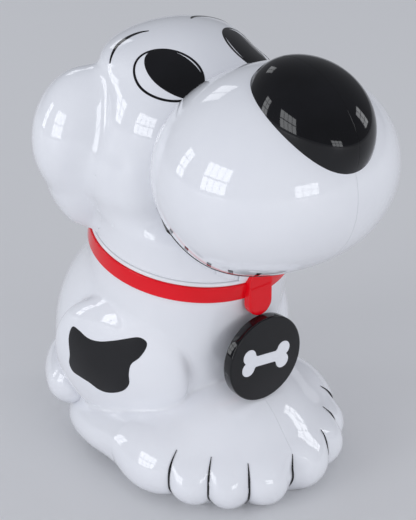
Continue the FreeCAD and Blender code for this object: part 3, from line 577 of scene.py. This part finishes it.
# Turned pieces: an outline of radius and level with rounded corners
def rounded(outline, rounding, steps=5):
    """Replace each corner with an arc; rounding gives its size."""
    result = []
    count = len(outline)
    for i, corner in enumerate(outline):
        corner = Vector(corner)
        before = Vector(outline[i - 1]) - corner
        after = Vector(outline[(i + 1) % count]) - corner
        reach = min(rounding, before.length / 2.1, after.length / 2.1)
        if corner.x < 1e-6 or reach < 1e-3:
            result.append(tuple(corner))
            continue
        start = corner + before.normalized() * reach
        end = corner + after.normalized() * reach
        for k in range(steps + 1):
            share = k / steps
            first, second = start.lerp(corner, share), corner.lerp(end, share)
            result.append(tuple(first.lerp(second, share)))
    return result


def lathe(outline, place, segments=160):
    """Points and faces of a closed outline turned about its own axis."""
    points, faces = [], []
    count = len(outline)
    for i in range(segments):
        angle = 2 * math.pi * i / segments
        for radius, level in outline:
            points.append((radius * math.cos(angle), radius * math.sin(angle), level))
    for i in range(segments):
        j = (i + 1) % segments
        for k in range(count):
            m = (k + 1) % count
            if outline[k][0] < 1e-6 and outline[m][0] < 1e-6:
                continue
            faces.append([i * count + k, j * count + k, j * count + m, i * count + m])
    points = np.array([place @ Vector(p) for p in points])
    return weld(points, faces)


def weld(points, faces):
    """Merge points that lie together, and drop what that flattens."""
    bm = bmesh.new()
    verts = [bm.verts.new(p) for p in points]
    for face in faces:
        bm.faces.new([verts[i] for i in face])
    bmesh.ops.remove_doubles(bm, verts=bm.verts[:], dist=1e-4)
    bmesh.ops.recalc_face_normals(bm, faces=bm.faces[:])
    points, _, faces = arrays(bm)
    return points, faces


# Outlines of the turned pieces, as radius and level on their axis, and the size of their edges
TUB = ((0, -118), (46, -118), (58.7, -20), (58.7, 0), (63, 0), (63, 2.6), (56.7, 2.6),
       (56.7, -20), (44, -115.6), (0, -115.6))
TUB_EDGE = 1.0
BAND = ((61.9, -11), (63.9, -11), (63.9, 0), (61.9, 0))
BAND_EDGE = 0.7
DISC = ((0, 0), (27.9, 0), (27.9, 7), (7, 7), (7, 24), (0, 24))
DISC_EDGE = 1.1


def tub():
    item = make("tub_liner", *lathe(rounded(TUB, TUB_EDGE), NECK_PLACE))
    finish_piece(item, "jar", "white_tub", "tub")


# The collar's tab. Its top is the level where its round upper end begins, and that end reaches
# above the collar's edge. From a little below that level, its face is drawn in to this depth.
TAB = {"half_wide": 8.7, "front": -66.0, "back": -60.0, "top": 139.0, "bottom": 117.0,
       "edge": 0.9, "drawn_in": -65.5, "drawn_high": 2}


def tab(points):
    """The collar's tab: a plate with round ends and rounded edges."""
    middle = (TAB["front"] + TAB["back"]) / 2
    lowest = TAB["bottom"] + TAB["half_wide"]
    level = np.clip(points[..., 2], lowest, TAB["top"])
    flat = np.hypot(points[..., 0], points[..., 2] - level) - TAB["half_wide"]
    deep = np.abs(points[..., 1] - middle) - (TAB["back"] - TAB["front"]) / 2
    edge = TAB["edge"]
    outside = np.hypot(np.clip(flat + edge, 0, None), np.clip(deep + edge, 0, None)) - edge
    return outside + np.minimum(np.maximum(flat, deep) + edge, 0)


def collar():
    points, faces = lathe(rounded(BAND, BAND_EDGE), NECK_PLACE, segments=220)
    tab_points, tab_faces = surface(tab, *GRIDS["tab"])
    above = tab_points[:, 2] > TAB["top"] - TAB["drawn_high"]
    tab_points[above, 1] = np.maximum(tab_points[above, 1], TAB["drawn_in"])
    item = make("collar_band", np.concatenate([points, tab_points]),
                faces + (tab_faces + len(points)).tolist())
    finish_piece(item, "jar", "red_gloss", "collar")


# The tag: where its face is, the height of its middle, and the place of its axis
TAG_FRONT = -71.1
TAG_UP = 88.8
TAG_PLACE = Matrix.Translation((0, TAG_FRONT, TAG_UP)) @ Matrix.Rotation(math.radians(-90), 4, "X")


def tag():
    item = make("tag_disc_skin", *lathe(rounded(DISC, DISC_EDGE), TAG_PLACE))
    finish_piece(item, "jar", "black_gloss", "tag_disc")
    points, faces = surface(bone, *GRIDS["bone"])
    motif = make("tag_bone", points, faces.tolist(), bone)
    finish_piece(motif, "jar", "white_shell")


# The bone on the tag: its half sizes, its knobs, how proud it is, its roundings and its turn
BONE = {"half_long": 13.5, "half_wide": 3.6, "knob": 4.9, "knob_out": 4.1, "proud": 0.4,
        "fillet": 2, "edge": 0.4, "turn": math.radians(-7)}


def bone(points):
    """A plain bone, a little proud of the tag's face."""
    cos, sin = math.cos(BONE["turn"]), math.sin(BONE["turn"])
    x, z = points[..., 0], points[..., 2] - TAG_UP
    along, across = np.abs(cos * x + sin * z), np.abs(cos * z - sin * x)
    shaft = np.maximum(along - BONE["half_long"], across - BONE["half_wide"])
    knob = np.hypot(along - BONE["half_long"], across - BONE["knob_out"]) - BONE["knob"]
    flat = join(shaft, knob, BONE["fillet"])
    deep = np.abs(points[..., 1] - TAG_FRONT) - BONE["proud"]
    return meet(flat, deep, BONE["edge"])


# Painted marks: thin films that follow a surface, with an edge that dips into it. The edge takes
# this share of a stroke's half width, and a patch's edge ends at this share of its outline.
FILM = 0.14
EDGE_SINK = -0.12
EDGE_SHARE = 0.15
PATCH_EDGE = 1.006


def lifted(field, points, height):
    outward, _ = slope_of(field, points)
    return points + outward * np.asarray(height)[..., None]


def rings_to_faces(rings, around, closed=True):
    faces = []
    for i in range(rings - 1):
        for j in range(around if closed else around - 1):
            k = (j + 1) % around
            faces.append([i * around + j, i * around + k, (i + 1) * around + k,
                          (i + 1) * around + j])
    return faces


def patch(field, outline, centre, direction, rings=18):
    """A film inside an outline, cast on a field along a direction."""
    around = len(outline)
    shares = np.append(np.linspace(0.04, 1, rings), PATCH_EDGE)
    rows = centre + shares[:, None, None] * (outline - centre)
    flat = rows.reshape(-1, 3)
    points = cast(field, flat, direction)
    heights = np.full(len(shares), FILM)
    heights[-1] = EDGE_SINK
    points = lifted(field, points, np.repeat(heights, around))
    faces = rings_to_faces(len(shares), around)
    faces.append(list(range(around))[::-1])
    return points, faces


def facing(field, points, faces):
    """Turn the faces so that they look outward from a field."""
    outward, _ = slope_of(field, points)
    result = []
    for face in faces:
        corners = points[face]
        normal = np.cross(corners[1] - corners[0], corners[2] - corners[0])
        result.append(face if normal @ outward[face[0]] > 0 else face[::-1])
    return result


def through(controls, count, closed=False):
    """A smooth line through a few points."""
    controls = np.array(controls, float)
    total = len(controls)
    spans = total if closed else total - 1
    result = []
    for s in np.linspace(0, spans, count, endpoint=not closed):
        i = min(int(s), spans - 1)
        t = s - i
        if closed:
            p = [controls[(i + k) % total] for k in (-1, 0, 1, 2)]
        else:
            p = [controls[min(max(i + k, 0), total - 1)] for k in (-1, 0, 1, 2)]
        bend = (2 * p[0] - 5 * p[1] + 4 * p[2] - p[3]) * t ** 2
        twist = (3 * p[1] - p[0] - 3 * p[2] + p[3]) * t ** 3
        result.append(0.5 * (2 * p[1] + (p[2] - p[0]) * t + bend + twist))
    return np.array(result)


def stroke(field, line, widths):
    """A painted line on a field, from its middle line and its width along it."""
    line = settle(field, line, 5)
    along = np.gradient(line, axis=0)
    outward, _ = slope_of(field, line)
    side = np.cross(outward, along)
    side /= np.linalg.norm(side, axis=1, keepdims=True) + 1e-9
    rows = []
    flat = 1 - EDGE_SHARE
    for share, height in ((-1, EDGE_SINK), (-flat, FILM), (flat, FILM), (1, EDGE_SINK)):
        row = line + side * (np.asarray(widths) / 2 * share)[:, None]
        rows.append(lifted(field, settle(field, row), np.full(len(row), height)))
    points = np.concatenate(rows)
    return points, rings_to_faces(4, len(line), closed=False)


def merged(parts):
    points, faces = [], []
    start = 0
    for part_points, part_faces in parts:
        points.append(part_points)
        faces += [[i + start for i in face] for face in part_faces]
        start += len(part_points)
    return np.concatenate(points), faces


def mark(name, field, parts, body_name, slot="black_gloss"):
    points, faces = merged(parts)
    item = make(name, points, facing(field, points, faces))
    return finish_piece(item, body_name, slot)


# The plane of the right eye: a point, the direction that it faces, and its two axes
EYE = {
    "place": np.array([-26.6, -18.3, 266.2]),
    "out": np.array([-0.466, -0.32, 0.825]),
    "across": np.array([0.566, -0.824, 0.0]),
    "up": np.array([0.68, 0.467, 0.566]),
}
# Each oval: its centre, its half sizes and its turn in the plane of the eye
PUPIL = ((-0.27, -0.97), (12.24, 22.25), 57.2)
RIM = ((-3.58, -2.28), (16.49, 22.05), 68.1)
# The rim's width, and the share of it that lies flat on each side of its middle line
RIM_WIDE = 1.6
RIM_FLAT = 0.42


def eye_oval(shape, grow=0.0, count=96):
    (across, up), (first, second), turn = shape
    turn = math.radians(turn)
    angle = np.linspace(0, 2 * math.pi, count, endpoint=False)
    u, v = (first + grow) * np.cos(angle), (second + grow) * np.sin(angle)
    right = across + u * math.cos(turn) - v * math.sin(turn)
    above = up + u * math.sin(turn) + v * math.cos(turn)
    return EYE["place"] + np.outer(right, EYE["across"]) + np.outer(above, EYE["up"])


def eyes():
    pupil = eye_oval(PUPIL)
    parts = [patch(head, pupil, pupil.mean(0), -EYE["out"])]
    rows = []
    for grow, height in ((-0.5, EDGE_SINK), (-RIM_FLAT, FILM), (RIM_FLAT, FILM), (0.5, EDGE_SINK)):
        row = cast(head, eye_oval(RIM, grow * RIM_WIDE), -EYE["out"])
        rows.append(lifted(head, row, np.full(len(row), height)))
    parts.append((np.concatenate(rows), rings_to_faces(4, len(rows[0]))))
    on_both_sides("eye", head, parts, "lid")


def on_both_sides(name, field, parts, body_name):
    for side, sign in (("right", 1), ("left", -1)):
        there = [(points * (sign, 1, 1), faces) for points, faces in parts]
        mark("%s_%s" % (name, side), field, there, body_name)


# The right brow's middle line, its width at the tips, how much wider it gets between them, and
# the part of a half wave that it follows
BROW = ((-46.3, 18.4, 265.1), (-36.5, 24.3, 271.2), (-28.0, 25.4, 274.5), (-20.7, 23.8, 276.2),
        (-15.9, 20.4, 277.2))
BROW_TIP = 0.6
BROW_SWELL = 2.7
BROW_WAVE = (0.12, math.pi - 0.1)


def brows():
    line = through(BROW, 60)
    taper = np.sin(np.linspace(*BROW_WAVE, len(line)))
    parts = [stroke(head, line, BROW_TIP + BROW_SWELL * taper)]
    on_both_sides("brow", head, parts, "lid")


# The spot's outline in y and z, the point that it spreads from, and the x that it is cast from
SPOT = ((25.5, 95.2), (19.5, 95), (12, 92.5), (4, 92.9), (-6, 96.4), (-14, 99.9), (-20, 101.9),
        (-24.3, 100), (-24.8, 95.5), (-22, 89), (-17.4, 83.3), (-15.9, 76), (-15.4, 68.5),
        (-10.5, 61.8), (-1.5, 57.3), (6, 56.9), (13, 60), (20, 61.6), (26, 63.3), (28.2, 68.5),
        (26.9, 76), (27.8, 87.5))
SPOT_MIDDLE = (4.0, 78.0)
SPOT_SIDE = -78


def spot():
    outline = through([(SPOT_SIDE, y, z) for y, z in SPOT], 120, closed=True)
    parts = [patch(body, outline, np.array([SPOT_SIDE, *SPOT_MIDDLE]), (1, 0, 0))]
    mark("haunch_spot", body, parts, "jar")


# Each toe line: its gap, and the levels of its two ends
TOE_LINES = ((0, 33, 1.5), (1, 35, 2), (2, 38, 3), (3, 40, 4))
# A toe line's radius, how far it stands out, how far outside the pad it is cast from, and how it
# tapers from its top, cut off at full size
TOE_LINE_RADIUS = 0.75
TOE_LINE_LIFT = 0.4
TOE_LINE_FROM = 1.4
TOE_LINE_TAPER = (0.25, 3)
TOE_LINE_STEPS = 40


def toe_line(gap, top, bottom):
    """The line where the surface dips between two toes, on the left side."""
    angle = math.radians(TOE_GAPS[gap])
    out = np.array([math.sin(angle) * PAD["half_wide"], -math.cos(angle) * PAD["reach"], 0])
    line = np.linspace((0, PAD["back"], top), (0, PAD["back"], bottom), TOE_LINE_STEPS)
    return cast(body, line + TOE_LINE_FROM * out, -out, rounds=30)


# The right half of the mouth: where its dark line runs under the muzzle, a black bead that is
# painted shade for the gap between the muzzle and the neck, its half width at shares of that half's
# length, and where the sound slots are, as shares of it too; each slot is a black film on the
# muzzle, painted shade for the dark inside the slot
MOUTH = ((-64, -47, 202), (-62, -58, 189.5), (-56.4, -73, 176.9), (-46, -87, 170.4),
         (-33.6, -98.2, 168.4), (-12, -106, 165), (0, -107.5, 164))
MOUTH_SHARES = (0.08, 0.15, 0.175, 0.5, 1)
MOUTH_WIDTHS = (0.1, 1.25, 0.5, 0.38, 0.3)
SLOT_SHARES = (0.17, 0.285, 0.415, 0.545, 0.665)
SLOT_LONG = 15.0
SLOT_WIDE = 3.0
SLOT_STEPS = 24


def bead(field, line, radii, lift=0.0, around=8):
    """A round bead along a line on a field, half sunk in it."""
    line = settle(field, line, 5)
    along = np.gradient(line, axis=0)
    outward, _ = slope_of(field, line)
    line = line + lift * outward
    side = np.cross(outward, along)
    side /= np.linalg.norm(side, axis=1, keepdims=True) + 1e-9
    rows = []
    for turn in np.linspace(0, 2 * math.pi, around, endpoint=False):
        reach = np.cos(turn) * side + np.sin(turn) * outward
        rows.append(line + reach * np.asarray(radii)[:, None])
    rows.append(rows[0])
    return np.concatenate(rows), rings_to_faces(around + 1, len(line), closed=False)


def mouth():
    count = 120
    whole = np.concatenate([MOUTH, np.array(MOUTH[-2::-1]) * (-1, 1, 1)])
    line = settle(muzzle_egg, through(whole, 2 * count - 1), 5)
    shares = np.linspace(0, 1, count)
    radii = np.interp(shares, MOUTH_SHARES, MOUTH_WIDTHS)
    # The black bead is painted shade: it stands for the shadow in the gap under the muzzle
    parts = [bead(muzzle_egg, line, np.concatenate([radii, radii[-2::-1]]))]
    along = np.gradient(line, axis=0)
    outward, _ = slope_of(muzzle_egg, line)
    up = np.cross(outward, along)
    up /= np.linalg.norm(up, axis=1, keepdims=True)
    # Each slot is a black film painted on the muzzle, painted shade for the dark inside a slot
    for share in SLOT_SHARES:
        at = int(share * (count - 1))
        slot = line[at] + np.outer(np.linspace(-1, SLOT_LONG, SLOT_STEPS), up[at])
        for sign in (1, -1):
            widths = np.full(SLOT_STEPS, SLOT_WIDE)
            parts.append(stroke(muzzle_egg, slot * (sign, 1, 1), widths))
    mark("mouth_painted_shade", muzzle_egg, parts, "lid")


def toe_lines():
    taper = np.clip(np.linspace(*TOE_LINE_TAPER, TOE_LINE_STEPS), 0, 1)
    parts = []
    for gap, top, bottom in TOE_LINES:
        line = toe_line(gap, top, bottom)
        for sign in (1, -1) if gap else (1,):
            parts.append(bead(body, line * (sign, 1, 1), TOE_LINE_RADIUS * taper,
                              TOE_LINE_LIFT))
    mark("toe_lines", body, parts, "jar")


# Finishes: each has two close tints, a range of roughness, a coat, and the strength and the scale
# of its fine texture
FINISHES = {
    "white_shell": dict(tints=((.83, .84, .885), (.86, .87, .91)), rough=(.05, .09), coat=.6,
                        grain=.03, grain_size=900),
    "white_tub": dict(tints=((.82, .83, .86), (.86, .87, .89)), rough=(.14, .22), coat=.2,
                      grain=.04, grain_size=900),
    "black_gloss": dict(tints=((.004, .004, .005), (.008, .008, .01)), rough=(.04, .08), coat=.25,
                        spec=.3, grain=.03, grain_size=900),
    "red_gloss": dict(tints=((.78, .001, .008), (.84, .002, .012)), rough=(.14, .22), coat=.2,
                      spec=.3, grain=.04, grain_size=900),
    "grey_plastic": dict(tints=((.7, .7, .72), (.76, .76, .78)), rough=(.35, .48), coat=0,
                         grain=.15, grain_size=1500),
    "dark_plastic": dict(tints=((.035, .035, .04), (.055, .055, .06)), rough=(.35, .5), coat=0,
                         grain=.2, grain_size=1500),
    "steel": dict(tints=((.55, .55, .56), (.63, .63, .64)), rough=(.2, .34), coat=0, metal=1,
                  grain=.1, grain_size=2500),
    "seal_rubber": dict(tints=((.74, .74, .73), (.8, .8, .79)), rough=(.5, .62), coat=0,
                        grain=.12, grain_size=1800),
    "board_green": dict(tints=((.02, .17, .07), (.035, .25, .1)), rough=(.25, .4), coat=.3,
                        grain=.1, grain_size=1500),
    "cell_wrap": dict(tints=((.1, .12, .14), (.14, .16, .18)), rough=(.22, .34), coat=.3,
                      grain=.05, grain_size=1200),
    "cone_paper": dict(tints=((.04, .04, .04), (.07, .07, .07)), rough=(.75, .9), coat=0,
                       grain=.4, grain_size=2200),
    "clear_lens": dict(tints=((.78, .83, .88), (.82, .87, .92)), rough=(.04, .08), coat=0,
                       clear=.8, grain=.02, grain_size=900),
}
# The scale of the patches of tint and of roughness, where the two tints begin, how rough a coat
# is, and the depth of the fine texture in metres
TINT_SCALE = 28
ROUGH_SCALE = 90
TINT_STOPS = (.3, .7)
COAT_ROUGH = 0.02
GRAIN_DEPTH = 0.00004
MADE = {}


def material(slot):
    """The finish of a slot: tint, roughness and fine texture vary over the surface."""
    if slot in MADE:
        return MADE[slot]
    look = FINISHES[slot]
    made = bpy.data.materials.new(slot)
    made.use_nodes = True
    nodes, links = made.node_tree.nodes, made.node_tree.links
    shader = nodes["Principled BSDF"]
    place = nodes.new("ShaderNodeTexCoord")

    def noise(scale, detail):
        texture = nodes.new("ShaderNodeTexNoise")
        texture.inputs["Scale"].default_value = scale
        texture.inputs["Detail"].default_value = detail
        links.new(place.outputs["Object"], texture.inputs["Vector"])
        return texture.outputs["Fac"]

    ramp = nodes.new("ShaderNodeValToRGB")
    for stop, tint, where in zip(ramp.color_ramp.elements, look["tints"], TINT_STOPS):
        stop.position = where
        stop.color = (*tint, 1)
    links.new(noise(TINT_SCALE, 3), ramp.inputs["Fac"])
    links.new(ramp.outputs["Color"], shader.inputs["Base Color"])
    spread = nodes.new("ShaderNodeMapRange")
    spread.inputs["To Min"].default_value, spread.inputs["To Max"].default_value = look["rough"]
    links.new(noise(ROUGH_SCALE, 4), spread.inputs["Value"])
    links.new(spread.outputs["Result"], shader.inputs["Roughness"])
    bump = nodes.new("ShaderNodeBump")
    bump.inputs["Strength"].default_value = look["grain"]
    bump.inputs["Distance"].default_value = GRAIN_DEPTH
    links.new(noise(look["grain_size"], 2), bump.inputs["Height"])
    links.new(bump.outputs["Normal"], shader.inputs["Normal"])
    shader.inputs["Specular IOR Level"].default_value = look.get("spec", 0.5)
    shader.inputs["Coat Weight"].default_value = look["coat"]
    shader.inputs["Coat Roughness"].default_value = COAT_ROUGH
    shader.inputs["Metallic"].default_value = look.get("metal", 0)
    shader.inputs["Transmission Weight"].default_value = look.get("clear", 0)
    MADE[slot] = made
    return made


def dress_nodes():
    for part in frame["record"]["subparts"]:
        node = frame["nodes"][part["node"]]
        node.data.materials.clear()
        node.data.materials.append(material(part["material_slot"]))


# The photograph's camera, stage and light
CAMERA_AT = (-685.89, -859.45, 710.59)
CAMERA_AXES = ((0.776093, -0.630619, 0.0), (0.295501, 0.363669, 0.883416),
               (-0.557099, -0.685613, 0.468589))
FOCAL_PIXELS = 2000
FRAME_HEIGHT_PIXELS = 520
SENSOR = 36


def camera():
    lens = bpy.data.cameras.new("camera")
    lens.sensor_width = SENSOR
    lens.lens = FOCAL_PIXELS / FRAME_HEIGHT_PIXELS * SENSOR
    lens.clip_start, lens.clip_end = 0.05, 100
    item = bpy.data.objects.new("camera", lens)
    turn = Matrix(CAMERA_AXES).transposed().to_4x4()
    item.matrix_world = Matrix.Translation(Vector(CAMERA_AT) * MM) @ turn
    bpy.context.scene.collection.objects.link(item)
    bpy.context.scene.camera = item


# Windows: azimuth, elevation, width and height in degrees, panes across and up, brightness
WINDOWS = {
    "left_window": (-92, 16, 27, 32, 4, 2, 3.6),
    "side_window": (-134, 14, 11, 26, 2, 3, 3.2),
    "front_window": (-8, 6, 20, 14, 3, 2, 3.4),
    "right_window": (65, 22, 12, 19, 2, 3, 3.6),
    "back_window": (167, 31, 13, 15, 2, 1, 1.5),
}
# The soft light that fills in from the front: azimuth, elevation, distance, size and brightness
FILL = (0, 16, 2.6, 1.8, 1.0)
# The room's own light, and how much of it shows in the gloss: the room behind the camera is dim
SKY_LIGHT = 0.62
SKY_IN_GLOSS = 0.2
# The windows' distance, the height that they face, the share that is glass, and their colour
WINDOW_AWAY = 3.0
WINDOW_AIM = 0.15
PANE_SHARE = 0.9
DAYLIGHT = (0.95, 0.97, 1.0)
# The sky's colour, and the floor: its half width and level in metres, its colour, its roughness,
# and the strength and the scale of its unevenness
SKY_COLOUR = (.9, .93, 1, 1)
FLOOR_HALF = 12.0
FLOOR_LEVEL = -0.0003
FLOOR_COLOUR = (.74, .74, .75)
FLOOR_ROUGH = .6
UNEVEN_STRENGTH = 0.05
UNEVEN_SCALE = 60


def direction(azimuth, elevation):
    a, e = math.radians(azimuth), math.radians(elevation)
    return Vector((math.sin(a) * math.cos(e), -math.cos(a) * math.cos(e), math.sin(e)))


def window(name, azimuth, elevation, wide, high, across, up, bright):
    toward = direction(azimuth, elevation)
    turn = toward.to_track_quat("Z", "Y").to_matrix().to_4x4()
    middle = Matrix.Translation(Vector((0, 0, WINDOW_AIM)) + toward * WINDOW_AWAY) @ turn
    span_x = 2 * WINDOW_AWAY * math.tan(math.radians(wide / 2))
    span_y = 2 * WINDOW_AWAY * math.tan(math.radians(high / 2))
    for i in range(across):
        for j in range(up):
            pane = bpy.data.lights.new("%s_%d_%d" % (name, i, j), "AREA")
            pane.shape = "RECTANGLE"
            pane.size = span_x / across * PANE_SHARE
            pane.size_y = span_y / up * PANE_SHARE
            pane.energy = bright * math.pi * pane.size * pane.size_y
            pane.color = DAYLIGHT
            item = bpy.data.objects.new(pane.name, pane)
            shift = Vector(((i + .5) / across - .5, (j + .5) / up - .5, 0))
            item.matrix_world = middle @ Matrix.Translation((shift.x * span_x, shift.y * span_y, 0))
            item.visible_camera = False
            bpy.context.scene.collection.objects.link(item)


def fill_light():
    """A broad soft light with no picture of its own in the gloss."""
    azimuth, elevation, away, wide, bright = FILL
    toward = direction(azimuth, elevation)
    soft = bpy.data.lights.new("fill", "AREA")
    soft.size = wide
    soft.energy = bright * math.pi * wide ** 2
    item = bpy.data.objects.new("fill", soft)
    turn = toward.to_track_quat("Z", "Y").to_matrix().to_4x4()
    item.matrix_world = Matrix.Translation(toward * away) @ turn
    item.visible_camera = False
    item.visible_glossy = False
    bpy.context.scene.collection.objects.link(item)


def plain_material(name, colour, rough):
    """A matt surface that is faintly uneven."""
    made = bpy.data.materials.new(name)
    made.use_nodes = True
    nodes, links = made.node_tree.nodes, made.node_tree.links
    shader = nodes["Principled BSDF"]
    shader.inputs["Roughness"].default_value = rough
    shader.inputs["Base Color"].default_value = (*colour, 1)
    bump = nodes.new("ShaderNodeBump")
    bump.inputs["Strength"].default_value = UNEVEN_STRENGTH
    texture = nodes.new("ShaderNodeTexNoise")
    texture.inputs["Scale"].default_value = UNEVEN_SCALE
    links.new(texture.outputs["Fac"], bump.inputs["Height"])
    links.new(bump.outputs["Normal"], shader.inputs["Normal"])
    return made


def stage():
    mesh = bpy.data.meshes.new("floor")
    signs = ((-1, -1), (1, -1), (1, 1), (-1, 1))
    corners = [(x * FLOOR_HALF, y * FLOOR_HALF, FLOOR_LEVEL) for x, y in signs]
    mesh.from_pydata(corners, [], [[0, 1, 2, 3]])
    floor = bpy.data.objects.new("floor", mesh)
    mesh.materials.append(plain_material("floor_matt", FLOOR_COLOUR, FLOOR_ROUGH))
    bpy.context.scene.collection.objects.link(floor)
    world = bpy.data.worlds.new("studio")
    world.use_nodes = True
    nodes, links = world.node_tree.nodes, world.node_tree.links
    sky = nodes["Background"]
    sky.inputs["Color"].default_value = SKY_COLOUR
    rays = nodes.new("ShaderNodeLightPath")
    level = nodes.new("ShaderNodeMapRange")
    level.inputs["To Min"].default_value = SKY_LIGHT
    level.inputs["To Max"].default_value = SKY_IN_GLOSS
    links.new(rays.outputs["Is Glossy Ray"], level.inputs["Value"])
    links.new(level.outputs["Result"], sky.inputs["Strength"])
    bpy.context.scene.world = world
    bpy.context.scene.view_settings.view_transform = "Standard"
    for name, facts in WINDOWS.items():
        window(name, *facts)
    fill_light()


camera()
stage()
dress_nodes()
body_shells()
tail_piece()
head_shells()
ears()
halved("muzzle", muzzle, "white_shell")
halved("nose", nose, "black_gloss")
tub()
collar()
tag()
eyes()
brows()
spot()
toe_lines()
mouth_lip()
mouth()
